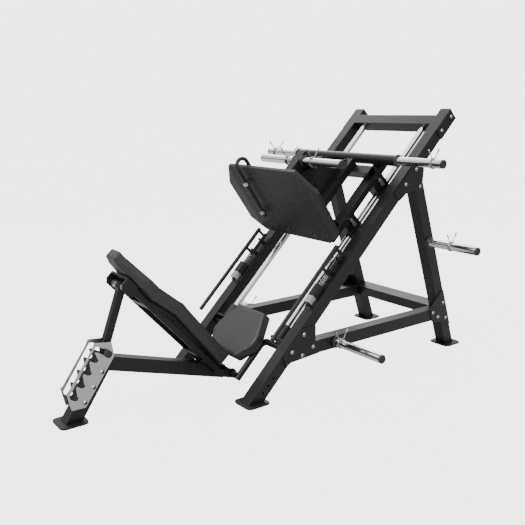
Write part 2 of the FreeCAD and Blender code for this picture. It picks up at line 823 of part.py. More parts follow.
# the members that carry the foot board end on the back of its sheet
peg_r = size("peg_r", 10)
pegs = []
for side, sign in SIDES:
    x = (beam_x + beam_wide / 2 + weld_gap + peg_r) * sign
    for i, s_at in enumerate((1205, 1522)):
        pegs.append(cylinder("peg_%s_%d" % (side, i), RAIL, x, s_at, 46, peg_r, 58, "v"))
group("carriage_pegs", pegs)

board_s = (BOARD.y + BOARD.z) / ROOT2
board_n = (BOARD.z - BOARD.y) / ROOT2
BOARD_TILT = math.radians(135 - BOARD.angle)
board_back = board_s + (board_sheet + weld_gap) / math.cos(BOARD_TILT)


def behind_board(n):
    return board_back + (n - board_n) * math.tan(BOARD_TILT)


bridge_half = beam_x + beam_wide / 2
bridge_low = beam_top + weld_gap
crosses = []
for word, s_mid in (("low", 1100), ("high", 1515)):
    crosses.append(part_of_group(tube_cross("bridge_" + word, RAIL, s_mid,
                                            bridge_low + bridge / 2, bridge, bridge,
                                            -bridge_half, bridge_half, wall)))
group("carriage_bridges", crosses)
arm_low = bridge_low + bridge + weld_gap
arm_high = arm_low + arm_side
for side, sign in SIDES:
    tube_side("push_arm_" + side, RAIL,
              [(behind_board(arm_low), arm_low), (1545, arm_low), (1545, arm_high),
               (behind_board(arm_high), arm_high)],
              arm_x * sign, arm_side, wall)

bar = cylinder("crossbar_tube", RAIL, -bar_long, bar_s, bar_n, bar_r, bar_long * 2, "x")
saddles = [bar]
for side, sign in SIDES:
    saddle_low = beam_top + weld_gap
    saddles.append(block("saddle_" + side, RAIL, beam_x * sign - 12, bar_s - 26,
                         saddle_low, 24, 52, bar_n - saddle_low))
joined("crossbar", saddles)

gusset_base = arm_high + weld_gap
link_n = 377
GUSSET = [(1230, gusset_base), (1540, gusset_base), (1385, link_n), (1300, link_n)]
webs = []
for side, sign in SIDES:
    x = 106 if sign > 0 else -114
    webs.append(part_of_group(plate("web_" + side, RAIL, GUSSET, x, 8)))
webs.append(part_of_group(slab("web_link", RAIL,
                               [(-116, 1290), (116, 1290), (116, 1392), (-116, 1392)],
                               link_n + weld_gap, 8)))
group("carriage_webs", webs)
horn_low = link_n + 8 + weld_gap * 2
horn_high = horn_low + 80
tube_side("horn_arm", RAIL,
          [(behind_board(horn_low), horn_low), (1390, horn_low), (1390, horn_high),
           (behind_board(horn_high), horn_high)],
          0.0, 60, wall)

sleeves = []
collars = []
clips = []
for side, sign in SIDES:
    clips.append(horn("load_rear_" + side, RAIL, bar_long * sign, bar_s, bar_n, sign,
                      load_long - collar_thick * 2, 255, sleeves, collars))
    clips.append(horn("load_front_" + side, RAIL, 30.1 * sign, 1340, 430, sign,
                      load_long - collar_thick * 2, 75, sleeves, collars))
group("load_sleeves", sleeves)
group("load_ends", collars)
group("load_clips", clips)

# foot board: a shallow octagonal tray facing the seat
hw = board_half
BOARD_SHAPE = [(-302, 0), (302, 0), (hw - 8, 88), (hw, 373), (311, board_high),
               (-311, board_high), (-hw, 373), (-hw + 8, 88)]
tray = slab("foot_board", BOARD, BOARD_SHAPE, -board_deep, board_deep)
lip = 6
hollow = []
for a, b in BOARD_SHAPE:
    na = number(a)
    hollow.append((a - lip if na > 0 else a + lip, b))
hollow[0] = (-302 + lip / 2, lip)
hollow[1] = (302 - lip / 2, lip)
hollow[4] = (311 - lip / 2, board_high - lip)
hollow[5] = (-311 + lip / 2, board_high - lip)
pocket(tray, draw(tray, "foot_board_hollow", hollow), board_deep - board_sheet)

# grip on the left of the board: a hooked round bar on two collars
grip_x = -178
grip_r = 11.5
body = body_start("grip")
path = body.newObject("Sketcher::SketchObject", "grip_path")
path.AttachmentSupport = [(plane(body, "XY_Plane"), "")]
path.MapMode = "FlatFace"
grip_run = board_high - 150
grip_bend = 40.0
path.addGeometry(Part.LineSegment(V(0, 0, 0), V(grip_run.value, 0, 0)))
path.addGeometry(Part.ArcOfCircle(Part.Circle(V(grip_run.value, grip_bend, 0),
                                              V(0, 0, 1), grip_bend),
                                  -math.pi / 2, math.pi / 2))
path.addGeometry(Part.LineSegment(V(grip_run.value, 2 * grip_bend, 0),
                                  V(grip_run.value - 50, 2 * grip_bend, 0)))
path.addConstraint(Sketcher.Constraint("Coincident", 0, 2, 1, 1))
path.addConstraint(Sketcher.Constraint("Coincident", 1, 2, 2, 1))
fix(path, "DistanceX", 0, 1, 0.0, "start_x")
fix(path, "DistanceY", 0, 1, 0.0, "start_y")
fix(path, "DistanceX", 0, 2, grip_run, "run_x")
fix(path, "DistanceY", 0, 2, 0.0, "run_y")
fix(path, "DistanceX", 2, 1, grip_run, "back_x")
fix(path, "DistanceY", 2, 1, 2 * grip_bend, "back_y")
fix(path, "DistanceX", 2, 2, grip_run - 50, "end_x")
fix(path, "DistanceY", 2, 2, 2 * grip_bend, "end_y")
fix(path, "DistanceX", 1, 3, grip_run, "bend_x")
section = body.newObject("Sketcher::SketchObject", "grip_section")
section.AttachmentSupport = [(plane(body, "YZ_Plane"), "")]
section.MapMode = "FlatFace"
section.addGeometry(Part.Circle(V(0, 0, 0), V(0, 0, 1), grip_r))
section.addConstraint(Sketcher.Constraint("Coincident", 0, 3, -1, 1))
fix_radius(section, 0, grip_r, "ring")
sweep = body.newObject("PartDesign::AdditivePipe", "grip_sweep")
sweep.Profile = section
sweep.Spine = path
grip_v = 27
put(body, BOARD, grip_x, 150.0, grip_v, "hook")
collars = []
for i, u in enumerate((176, 398)):
    outer = cylinder("grip_collar_outer_%d" % i, BOARD, grip_x, u, grip_v, 18, 22, "u")
    base = block("grip_collar_base_%d" % i, BOARD, grip_x - 12, u, 0.1, 24, 22, grip_v)
    whole = joined("grip_collar_whole_%d" % i, [outer, base], False)
    bore = cylinder("grip_collar_bore_%d" % i, BOARD, grip_x, u - 1, grip_v,
                    grip_r + run_gap, 24, "u")
    collars.append(cut("grip_collar_%d" % i, whole, bore, False))
group("grip_collars", collars)

# ---------------------------------------------------------------- check and write
doc.recompute()
for obj in doc.Objects:
    for word in obj.State:
        if word in ("Invalid", "Error"):
            raise RuntimeError("%s is %s" % (obj.Name, word))
os.makedirs("parts", exist_ok=True)
for obj in finished:
    shape = obj.Shape
    if shape.isNull() or not shape.isValid() or not shape.Solids:
        raise RuntimeError("bad shape " + obj.Label)
    shape.exportStep("parts/%s.step" % obj.Label)
print(len(finished), "nodes written")
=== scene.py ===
# %% [markdown]
# # An incline leg press
# The machine is a welded steel frame, so its shapes come ready from the CAD model. Blender
# adds what CAD leaves out: paint, chrome, stuffed pads, coiled springs and wire clips.

# %% Load the frame
import json
import math
from collections import namedtuple

import bmesh
import bpy
import numpy as np
from mathutils import Matrix, Vector
from mathutils.bvhtree import BVHTree

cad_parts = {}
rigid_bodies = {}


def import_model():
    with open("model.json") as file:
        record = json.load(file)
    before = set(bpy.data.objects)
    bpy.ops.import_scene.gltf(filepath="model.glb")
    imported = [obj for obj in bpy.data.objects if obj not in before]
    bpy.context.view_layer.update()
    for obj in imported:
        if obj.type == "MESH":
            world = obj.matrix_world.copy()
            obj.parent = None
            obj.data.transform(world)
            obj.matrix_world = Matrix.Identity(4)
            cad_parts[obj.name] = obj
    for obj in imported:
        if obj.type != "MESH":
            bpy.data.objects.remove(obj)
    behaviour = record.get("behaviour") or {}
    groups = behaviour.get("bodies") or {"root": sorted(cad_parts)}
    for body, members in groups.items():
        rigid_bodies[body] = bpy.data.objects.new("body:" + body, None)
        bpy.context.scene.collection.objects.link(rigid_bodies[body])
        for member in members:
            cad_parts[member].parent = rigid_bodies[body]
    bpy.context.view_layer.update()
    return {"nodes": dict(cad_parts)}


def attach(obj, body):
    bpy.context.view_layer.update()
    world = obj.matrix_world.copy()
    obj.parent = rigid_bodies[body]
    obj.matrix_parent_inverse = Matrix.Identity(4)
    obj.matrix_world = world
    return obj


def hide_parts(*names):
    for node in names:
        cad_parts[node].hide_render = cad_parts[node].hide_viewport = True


for old in list(bpy.data.objects):
    bpy.data.objects.remove(old)
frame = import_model()
nodes = frame["nodes"]

# %% [markdown]
# ## Finding places on a slanted machine
# Rails lie at 45 degrees. It is easier to place a part by how far along the rail (u) and how
# far out of it (v) it sits, so one small helper turns those numbers into X, Y and Z. Lengths
# run from the foot of the rails, and SHIFT brings the middle of the machine to the origin.


# %% A slanted frame
FRONT_END, REAR_END = -0.862, 1.646
SHIFT = -(FRONT_END + REAR_END) / 2
SIDES = (-1, 1)


class Slant:
    def __init__(self, degrees, y=0.0, z=0.0):
        self.angle = math.radians(degrees)
        self.cos, self.sin = math.cos(self.angle), math.sin(self.angle)
        self.y, self.z = y, z

    def at(self, x, u, v):
        y = self.y + u * self.cos - v * self.sin + SHIFT
        return Vector((x, y, self.z + u * self.sin + v * self.cos))

    def matrix(self, x, u, v):
        turn = Matrix.Rotation(self.angle, 4, "X")
        return Matrix.Translation(self.at(x, u, v)) @ turn


RAIL = Slant(45)
BOARD = Slant(124.55, 0.624, 0.798)
FLOOR = Slant(0)
print("a rail point:", RAIL.at(0.37, 1.0, 0.0))

# %% [markdown]
# ## Shader maths in plain Python
# A roughness that wanders is arithmetic on a noise texture. A small class lets a node socket
# be added and multiplied like a number, which reads better than a page of node links.


# %% Shader maths
class Val:
    def __init__(self, tree, socket):
        self.tree, self.socket = tree, socket

    def op(self, kind, other, flip=False):
        node = self.tree.nodes.new("ShaderNodeMath")
        node.operation = kind
        pair = [other, self] if flip else [self, other]
        for item, slot in zip(pair, node.inputs):
            if isinstance(item, Val):
                self.tree.links.new(item.socket, slot)
            else:
                slot.default_value = item
        return Val(self.tree, node.outputs[0])

    def __add__(self, other):
        return self.op("ADD", other)

    def __rsub__(self, other):
        return self.op("SUBTRACT", other, flip=True)

    def __mul__(self, other):
        return self.op("MULTIPLY", other)


print("shader maths ready")


# %% Helpers that every finish uses
def new_material(name, colour, metallic, roughness, shine=0.5):
    """A plain material, and the parts of it that a finish goes on to build with."""
    mat = bpy.data.materials.new(name)
    mat.use_nodes = True
    tree = mat.node_tree
    shader = tree.nodes["Principled BSDF"]
    shader.inputs["Base Color"].default_value = (*colour, 1)
    shader.inputs["Metallic"].default_value = metallic
    shader.inputs["Roughness"].default_value = roughness
    shader.inputs["Specular IOR Level"].default_value = shine
    place = tree.nodes.new("ShaderNodeTexCoord")
    return mat, tree, shader, place.outputs["Object"]


def noise(tree, place, scale, detail, stretch=None):
    if stretch:
        mapping = tree.nodes.new("ShaderNodeMapping")
        mapping.inputs["Scale"].default_value = stretch
        tree.links.new(place, mapping.inputs["Vector"])
        place = mapping.outputs["Vector"]
    node = tree.nodes.new("ShaderNodeTexNoise")
    node.inputs["Scale"].default_value = scale
    node.inputs["Detail"].default_value = detail
    tree.links.new(place, node.inputs["Vector"])
    return Val(tree, node.outputs[0])


def drive(tree, value, socket):
    tree.links.new(value.socket, socket)


def wander(tree, shader, pattern, rough, spread):
    """Let the roughness drift either side of rough, by spread in all."""
    drive(tree, pattern * spread + (rough - spread / 2), shader.inputs["Roughness"])


def bump(tree, shader, height, distance, strength, edge=0.0):
    """Fine relief in metres; edge is the radius that corners seem to have."""
    node = tree.nodes.new("ShaderNodeBump")
    node.inputs["Distance"].default_value = distance
    node.inputs["Strength"].default_value = strength
    tree.links.new(height.socket, node.inputs["Height"])
    if edge:
        rounder = tree.nodes.new("ShaderNodeBevel")
        rounder.samples = 4
        rounder.inputs["Radius"].default_value = edge
        tree.links.new(rounder.outputs["Normal"], node.inputs["Normal"])
    tree.links.new(node.outputs["Normal"], shader.inputs["Normal"])


print("finish helpers ready")

# %% [markdown]
# ## Powder coat
# The frame's paint is dark, with a very fine orange peel and soft highlights. Real square tube
# has rounded corners. Rounding every edge would mean remaking the CAD meshes, so a bevel node
# rounds the shading at the corners and leaves the meshes alone.


# %% Paint
def paint(name, colour, rough):
    mat, tree, shader, place = new_material(name, colour, 0.0, rough, shine=0.32)
    peel = noise(tree, place, scale=900, detail=2)
    patches = noise(tree, place, scale=6, detail=3)
    wander(tree, shader, patches, rough, spread=0.08)
    bump(tree, shader, peel, distance=0.0001, strength=0.12, edge=0.004)
    return mat


black = paint("powder coat", (0.0052, 0.0052, 0.0054), 0.4)
print(black.name)

# %% [markdown]
# ## Bare metals
# The guide rods and sleeves are chromed, the bolts are zinc plated, and the ladder plates are
# brushed. All four metals are one recipe: only the colour, the roughness and the grain differ.
# Stretched noise gives the brushed plate its streaks.


# %% Metals
def metal(name, colour, rough, stretch=None, grain=0.05):
    mat, tree, shader, place = new_material(name, colour, 1.0, rough)
    lines = noise(tree, place, scale=60, detail=4, stretch=stretch)
    wander(tree, shader, lines, rough, spread=grain)
    bump(tree, shader, lines, distance=0.0001, strength=0.1, edge=0.001)
    return mat


chrome = metal("chrome", (0.74, 0.74, 0.75), 0.1)
steel = metal("zinc steel", (0.5, 0.5, 0.5), 0.28)
wire = metal("clip wire", (0.34, 0.34, 0.35), 0.28)
brushed = metal("brushed plate", (0.47, 0.455, 0.44), 0.36, stretch=(1, 6, 1), grain=0.16)
print(chrome.name, steel.name, wire.name, brushed.name)

# %% [markdown]
# ## Rubber, plastic and vinyl
# These dark, dull finishes differ in how coarse their grain is and how deep it goes. The backs
# of the seat and of the back rest are matt, with hardly any shine, so that no pale reflection
# shows under a pad.


# %% Soft finishes
def soft(name, colour, rough, scale, depth, edge=0.0, shine=0.5):
    mat, tree, shader, place = new_material(name, colour, 0.0, rough, shine)
    grain = noise(tree, place, scale, detail=4)
    wander(tree, shader, grain, rough, spread=0.14)
    bump(tree, shader, grain, distance=depth, strength=0.35, edge=edge)
    return mat


rubber = soft("rubber", (0.008, 0.008, 0.008), 0.62, 500, 0.0003)
backing = soft("matt backing", (0.006, 0.006, 0.006), 0.9, 300, 0.0003, shine=0.15)
plastic = soft("moulded plastic", (0.012, 0.012, 0.012), 0.48, 700, 0.0002, edge=0.003)
vinyl = soft("vinyl cover", (0.017, 0.017, 0.0175), 0.5, 420, 0.0004)
welt = soft("seam welt", (0.008, 0.008, 0.008), 0.55, 900, 0.0002)
print(rubber.name, backing.name, plastic.name, vinyl.name, welt.name)

# %% [markdown]
# ## The foot board's sheet
# The board is black sheet steel. Shoes rub the paint, so its roughness wanders a little over
# the surface. Its raised tread is real geometry, added further on, in a slightly paler paint:
# that paleness is painted highlight, which makes each stud look lit.

# %% Board sheet
board_mat = paint("board sheet", (0.0058, 0.0058, 0.006), 0.44)
# The studs' paler colour is painted highlight, so that each stud looks caught by the light.
stud_highlight_paint = paint("tread studs", (0.018, 0.018, 0.0185), 0.36)
print(board_mat.name, stud_highlight_paint.name)

# %% [markdown]
# ## Dressing the CAD pieces
# Each CAD piece is one finish throughout, so a table from piece to finish is enough. Whatever
# isn't in the table is painted steel.

# %% Dress the CAD nodes
FINISH = {
    "guide_rod_left": chrome, "guide_rod_right": chrome,
    "storage_sleeves": chrome, "load_sleeves": chrome,
    "storage_clips": chrome, "load_clips": chrome,
    "frame_bolts": steel, "strut_pin": steel, "grip_collars": steel,
    "lever_springs": steel, "carriage_pegs": steel, "lever_stops": wire,
    "ladder_plate_left": brushed, "ladder_plate_right": brushed, "back_pivot_tube": brushed,
    "bumpers": rubber, "grip": rubber,
    "strut_knob": plastic, "rail_caps": plastic,
    "seat_pad": vinyl, "back_pad": vinyl,
    "seat_board": backing, "back_board": backing,
    "foot_board": board_mat,
}
for name, node in nodes.items():
    node.data.materials.clear()
    node.data.materials.append(FINISH.get(name, black))
print("dressed", len(nodes))

# %% [markdown]
# ## Geometry Nodes for what repeats
# The same bolt sits in more than thirty places and the same stud in thousands. Geometry Nodes
# copy one small shape onto many points, and one change to the recipe changes them all. This
# class builds such a recipe in code, with named sizes that a modifier can set.


# %% A piece that rides on a body
def piece_from(name, mesh, body):
    obj = bpy.data.objects.new(name, mesh)
    bpy.context.scene.collection.objects.link(obj)
    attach(obj, body)
    return obj


print("pieces can ride")


# %% A recipe of geometry nodes
class Recipe:
    def __init__(self, name, **sizes):
        self.tree = bpy.data.node_groups.new(name, "GeometryNodeTree")
        face = self.tree.interface
        face.new_socket("Geometry", in_out="INPUT", socket_type="NodeSocketGeometry")
        self.ids = {}
        for word, value in sizes.items():
            socket = face.new_socket(word, in_out="INPUT", socket_type="NodeSocketFloat")
            socket.default_value = value
            self.ids[word] = socket.identifier
        face.new_socket("Geometry", in_out="OUTPUT", socket_type="NodeSocketGeometry")
        self.given = self.tree.nodes.new("NodeGroupInput").outputs

    def add(self, kind, values=None, out=0, **settings):
        """Make a node, set it up, fill its inputs, and give back one of its outputs."""
        node = self.tree.nodes.new(kind)
        for word, value in settings.items():
            setattr(node, word, value)
        for word, value in (values or {}).items():
            if isinstance(value, bpy.types.NodeSocket):
                self.tree.links.new(value, node.inputs[word])
            else:
                node.inputs[word].default_value = value
        return node.outputs[out]

    def join(self, parts):
        node = self.tree.nodes.new("GeometryNodeJoinGeometry")
        for part in parts:
            self.tree.links.new(part, node.inputs[0])
        return node.outputs[0]

    def paint_and_end(self, shape, mat, marked=None):
        """Realize the copies and give them their finish; faces flagged as painted shade get the
        second one.
        """
        shape = self.add("GeometryNodeRealizeInstances", {"Geometry": shape})
        shape = self.add("GeometryNodeSetMaterial", {"Geometry": shape, "Material": mat})
        if marked:
            flag = self.add("GeometryNodeInputNamedAttribute", {"Name": "painted_shade"},
                            data_type="BOOLEAN")
            shape = self.add("GeometryNodeSetMaterial",
                             {"Geometry": shape, "Selection": flag, "Material": marked})
        end = self.tree.nodes.new("NodeGroupOutput")
        self.tree.links.new(shape, end.inputs[0])

    def bake(self, name, start, body, **sizes):
        """Run the recipe on a start mesh and keep the result as a plain piece."""
        maker = bpy.data.objects.new(name + "_maker", start)
        bpy.context.scene.collection.objects.link(maker)
        mod = maker.modifiers.new("recipe", "NODES")
        mod.node_group = self.tree
        for word, value in sizes.items():
            mod[self.ids[word]] = value
        seen = maker.evaluated_get(bpy.context.evaluated_depsgraph_get())
        mesh = bpy.data.meshes.new_from_object(seen)
        bpy.data.objects.remove(maker)
        mesh.name = name
        return piece_from(name, mesh, body)


def turn_to_facing(recipe):
    """The rotation that turns a copy's Z to the way its point says it faces."""
    facing = recipe.add("GeometryNodeInputNamedAttribute", {"Name": "facing"},
                        data_type="FLOAT_VECTOR")
    return recipe.add("FunctionNodeAlignRotationToVector", {"Vector": facing}, axis="Z")


def points_mesh(name, spots):
    """Loose points that each know which way they face."""
    mesh = bpy.data.meshes.new(name)
    mesh.from_pydata([place for place, way in spots], [], [])
    layer = mesh.attributes.new("facing", "FLOAT_VECTOR", "POINT")
    layer.data.foreach_set("vector", [part for place, way in spots for part in way])
    return mesh


print("recipe class ready")

# %% [markdown]
# ## Bolt heads
# A washer, a button head and a thin black hexagon laid on the head. The hexagon is painted
# shade:
# it stands in for the shadow inside the socket's hollow, which is what makes a bolt read as a
# bolt. Each point carries the way its bolt faces, and the recipe turns the bolt to it.

# %% Bolt recipe
BOLT_SIDES = 24
WASHER_THICK = 0.0018
HEAD_TOP = 0.0074
SOCKET_SHARE = 0.6
SOCKET_LIFT = 0.0019
SOCKET_DEPTH = 0.0004

bolt = Recipe("bolt_recipe", washer=0.0118, head=0.0095, tall=0.0062)
washer = bolt.add("GeometryNodeMeshCylinder",
                  {"Vertices": BOLT_SIDES, "Radius": bolt.given["washer"],
                   "Depth": WASHER_THICK})
washer = bolt.add("GeometryNodeTransform",
                  {"Geometry": washer, "Translation": (0, 0, WASHER_THICK / 2)})
button = bolt.add("GeometryNodeMeshCone",
                  {"Vertices": BOLT_SIDES, "Radius Top": HEAD_TOP,
                   "Radius Bottom": bolt.given["head"], "Depth": bolt.given["tall"]})
button = bolt.add("GeometryNodeTransform",
                  {"Geometry": button, "Translation": (0, 0, WASHER_THICK)})
across = bolt.add("ShaderNodeMath", {0: bolt.given["head"], 1: SOCKET_SHARE},
                  operation="MULTIPLY")
lift = bolt.add("ShaderNodeMath", {0: bolt.given["tall"], 1: SOCKET_LIFT}, operation="ADD")
lift = bolt.add("ShaderNodeCombineXYZ", {"Z": lift})
# The hexagon is painted shade: a black disc on the head stands in for the shadow inside the
# socket's hollow.
hexagon = bolt.add("GeometryNodeMeshCylinder",
                   {"Vertices": 6, "Radius": across, "Depth": SOCKET_DEPTH})
hexagon = bolt.add("GeometryNodeTransform", {"Geometry": hexagon, "Translation": lift})
hexagon = bolt.add("GeometryNodeStoreNamedAttribute",
                   {"Geometry": hexagon, "Name": "painted_shade", "Value": True},
                   data_type="BOOLEAN", domain="FACE")
placed = bolt.add("GeometryNodeInstanceOnPoints",
                  {"Points": bolt.given["Geometry"], "Rotation": turn_to_facing(bolt),
                   "Instance": bolt.join([washer, button, hexagon])})
# The hexagon faces get the black plastic finish as painted shade for the socket's hollow.
bolt.paint_and_end(placed, steel, plastic)
print("bolt recipe nodes", len(bolt.tree.nodes))

# %% Bolt heads
UPPER = [(1.706, -0.007), (1.583, -0.005), (1.662, -0.112)]
LOWER = [(0.337, 0.334), (0.252, 0.248), (0.405, 0.249), (0.326, 0.214)]
REAR = [(1.446, 0.257), (1.500, 0.219), (1.579, 0.199), (1.544, 0.308)]
TOP = [(2.019, 0.0), (2.138, 0.0)]
LADDER = [(-0.697, 0.245), (-0.747, 0.174), (-0.796, 0.105)]
GUSSET_FACE, LADDER_FACE = 0.4124, 0.0439
spots = []
ladder_spots = []
for sign in SIDES:
    for slant, group in ((RAIL, UPPER), (FLOOR, LOWER), (FLOOR, REAR), (RAIL, TOP)):
        spots += [(slant.at(sign * GUSSET_FACE, u, v), (sign, 0, 0)) for u, v in group]
    ladder_spots += [(FLOOR.at(sign * LADDER_FACE, u, v), (sign, 0, 0)) for u, v in LADDER]
bolts = bolt.bake("bolt_heads", points_mesh("bolt_points", spots), "frame")
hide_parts("frame_bolts")
large = bolt.bake("ladder_bolt_heads", points_mesh("ladder_points", ladder_spots), "frame",
                  washer=0.0150, head=0.0130, tall=0.0070)
print("bolts", len(spots) + len(ladder_spots), "faces", len(bolts.data.polygons))

# %% [markdown]
# ## The tread
# Rows of small lozenge studs stand on the board, and every other row turns the other way. The
# recipe lays a grid of points in the board's plane, drops each one onto the board's outline
# with a ray, and keeps those that land.

# %% Tread recipe
PITCH = 0.0165
ROWS_X, ROWS_Y = 40, 56
DROP = 0.02
STUD_TOP, STUD_FOOT = 0.0036, 0.0062
STUD_SQUEEZE = 0.42

tread = Recipe("tread_recipe", pitch=PITCH, shift=0.0, turn=0.6, tall=0.0014)
grid = tread.add("GeometryNodeMeshGrid",
                 {"Size X": PITCH * ROWS_X, "Size Y": PITCH * ROWS_Y,
                  "Vertices X": ROWS_X + 1, "Vertices Y": ROWS_Y + 1})
slide = tread.add("ShaderNodeCombineXYZ", {"X": tread.given["shift"],
                                           "Y": tread.given["shift"], "Z": DROP})
grid = tread.add("GeometryNodeTransform", {"Geometry": grid, "Translation": slide})
hit = tread.add("GeometryNodeRaycast",
                {"Target Geometry": tread.given["Geometry"], "Ray Direction": (0, 0, -1),
                 "Ray Length": 0.05})
miss = tread.add("FunctionNodeBooleanMath", {0: hit}, operation="NOT")
grid = tread.add("GeometryNodeDeleteGeometry", {"Geometry": grid, "Selection": miss})
grid = tread.add("GeometryNodeTransform", {"Geometry": grid, "Translation": (0, 0, -DROP)})
stud = tread.add("GeometryNodeMeshCone",
                 {"Vertices": 8, "Radius Top": STUD_TOP, "Radius Bottom": STUD_FOOT,
                  "Depth": tread.given["tall"]})
stud = tread.add("GeometryNodeTransform",
                 {"Geometry": stud, "Scale": (1.0, STUD_SQUEEZE, 1.0)})
spin = tread.add("ShaderNodeCombineXYZ", {"Z": tread.given["turn"]})
studs = tread.add("GeometryNodeInstanceOnPoints",
                  {"Points": grid, "Instance": stud, "Rotation": spin})
# The studs get the paler paint, which is painted highlight.
tread.paint_and_end(studs, stud_highlight_paint)
print("tread recipe nodes", len(tread.tree.nodes))

# %% Tread on the board
HALF_WIDE, HIGH, RIM = 0.418, 0.515, 0.009
FOOT_HALF, HEAD_HALF = 0.302, 0.311
SIDE_LOW, SIDE_HIGH, SIDE_LEAN = 0.088, 0.373, 0.008
OFF_SHEET = 0.0002
half = [(FOOT_HALF, RIM), (HALF_WIDE - SIDE_LEAN - RIM, SIDE_LOW),
        (HALF_WIDE - RIM, SIDE_HIGH), (HEAD_HALF, HIGH - RIM)]
outline = half + [(-x, u) for x, u in reversed(half)]
for label, shift, turn in (("tread_rows", 0.0, 0.6), ("tread_rows_between", PITCH / 2, -0.6)):
    sheet = bpy.data.meshes.new(label + "_sheet")
    sheet.from_pydata([(x, u - HIGH / 2, 0) for x, u in outline], [], [range(len(outline))])
    rows = tread.bake(label, sheet, "carriage", shift=shift, turn=turn)
    rows.data.transform(BOARD.matrix(0, HIGH / 2, OFF_SHEET))
    print(label, "faces", len(rows.data.polygons))

# %% [markdown]
# ## Collars and end caps
# Every plate sleeve starts at a collar and ends in a plastic cap. Both are turned shapes: a
# profile spun round an axis, as on a lathe. CAD holds them as plain discs. Spinning a profile
# is short to write, and it gives the rim and the hollow that catch the light.


# %% Mesh helpers
def object_from(name, mesh, mat, body):
    mesh.materials.clear()
    mesh.materials.append(mat)
    return piece_from(name, mesh, body)


def mesh_from(name, bm):
    bmesh.ops.recalc_face_normals(bm, faces=bm.faces)
    mesh = bpy.data.meshes.new(name)
    bm.to_mesh(mesh)
    bm.free()
    mesh.shade_smooth()
    return mesh


print("mesh helpers ready")

# %% A small lathe
TURNED_SIDES = 28
SHARP = 0.6


def lathe(bm, centre, sign, profile):
    """Spin (radius, out) points about X; out grows away from the machine."""
    rings = []
    for radius, out in profile:
        x = centre[0] + sign * out
        if radius == 0:
            rings.append([bm.verts.new((x, centre[1], centre[2]))])
            continue
        ring = []
        for k in range(TURNED_SIDES):
            turn = 2 * math.pi * k / TURNED_SIDES
            ring.append(bm.verts.new((x, centre[1] + radius * math.cos(turn),
                                      centre[2] + radius * math.sin(turn))))
        rings.append(ring)
    for low, high in zip(rings, rings[1:]):
        for k in range(TURNED_SIDES):
            n = (k + 1) % TURNED_SIDES
            face = [low[k % len(low)], low[n % len(low)],
                    high[n % len(high)], high[k % len(high)]]
            bm.faces.new(list(dict.fromkeys(face)))


def split_edges(bm):
    """Keep hard edges hard while the round faces stay smooth."""
    for edge in bm.edges:
        if len(edge.link_faces) == 2 and edge.calc_face_angle() > SHARP:
            edge.smooth = False


print("lathe ready")

# %% Collars and end caps of the plate sleeves
COLLAR = [(0, 0.0), (0.0340, 0.0), (0.0370, 0.0025), (0.0370, 0.0095), (0.0345, 0.0120),
          (0, 0.0120)]
CAP = [(0, 0.0), (0.0248, 0.0), (0.0248, 0.0090), (0.0225, 0.0118), (0.0165, 0.0118),
       (0.0150, 0.0085), (0.0075, 0.0085), (0.0070, 0.0112), (0.0035, 0.0112),
       (0.0032, 0.0090), (0, 0.0090)]
COLLAR_GAP = 0.0001
CAP_GAP = 0.0123

# A sleeve starts root out from the middle, at (u, v) on its slant; clip is where its clip sits.
Sleeve = namedtuple("Sleeve", "root slant u v long clip")
STORE = [Sleeve(0.4072, FLOOR, 0.587, 0.239, 0.342, 0.040),
         Sleeve(0.4072, FLOOR, 1.373, 0.733, 0.342, 0.165)]
LOAD = [Sleeve(0.436, RAIL, 1.606, 0.178, 0.311, 0.255),
        Sleeve(0.0301, RAIL, 1.340, 0.430, 0.311, 0.075)]


def ends(name, sleeves, body, cad):
    bm = bmesh.new()
    for sign in SIDES:
        for one in sleeves:
            collar_x = one.root + COLLAR_GAP
            cap_x = one.root + CAP_GAP + one.long
            lathe(bm, one.slant.at(sign * collar_x, one.u, one.v), sign, COLLAR)
            lathe(bm, one.slant.at(sign * cap_x, one.u, one.v), sign, CAP)
    split_edges(bm)
    obj = object_from(name, mesh_from(name, bm), plastic, body)
    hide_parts(cad)
    return obj


store_ends = ends("storage_collars", STORE, "frame", "storage_ends")
load_ends = ends("load_collars", LOAD, "carriage", "load_ends")
print("ends", len(store_ends.data.polygons), len(load_ends.data.polygons))

# %% [markdown]
# ## Springs on the safety levers
# Each lever is pushed back by a coil spring round its hinge rod. A helix swept with a thin
# circle is the real shape, and a few turns are enough to read as a spring.

# %% Coil springs
coil = Recipe("coil_recipe", turns=9.0, radius=0.0145, length=0.069, thick=0.0022)
spiral = coil.add("GeometryNodeCurveSpiral",
                  {"Resolution": 18, "Rotations": coil.given["turns"],
                   "Start Radius": coil.given["radius"], "End Radius": coil.given["radius"],
                   "Height": coil.given["length"]})
round_wire = coil.add("GeometryNodeCurvePrimitiveCircle",
                      {"Resolution": 8, "Radius": coil.given["thick"]})
swept = coil.add("GeometryNodeCurveToMesh", {"Curve": spiral, "Profile Curve": round_wire,
                                             "Fill Caps": True})
both = coil.add("GeometryNodeInstanceOnPoints",
                {"Points": coil.given["Geometry"], "Instance": swept,
                 "Rotation": turn_to_facing(coil)})
coil.paint_and_end(both, steel)
SPRING_X, SPRING_U, SPRING_V = 0.367, 0.7585, 0.063
up_the_rail = (0, RAIL.cos, RAIL.sin)
starts = [(RAIL.at(sign * SPRING_X, SPRING_U, SPRING_V), up_the_rail) for sign in SIDES]
springs = coil.bake("coil_springs", points_mesh("spring_points", starts), "frame")
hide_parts("lever_springs")
print("springs", len(springs.data.polygons))

# %% [markdown]
# ## Spring clips
# Plates are kept on each sleeve by a wire clip: two turns of wire round the sleeve, with its
# two ends bent up as finger grips. The line is a helix with two straight ends, and a circle is
# swept along it in plain code, because the handles need a thicker dipped tip of their own.


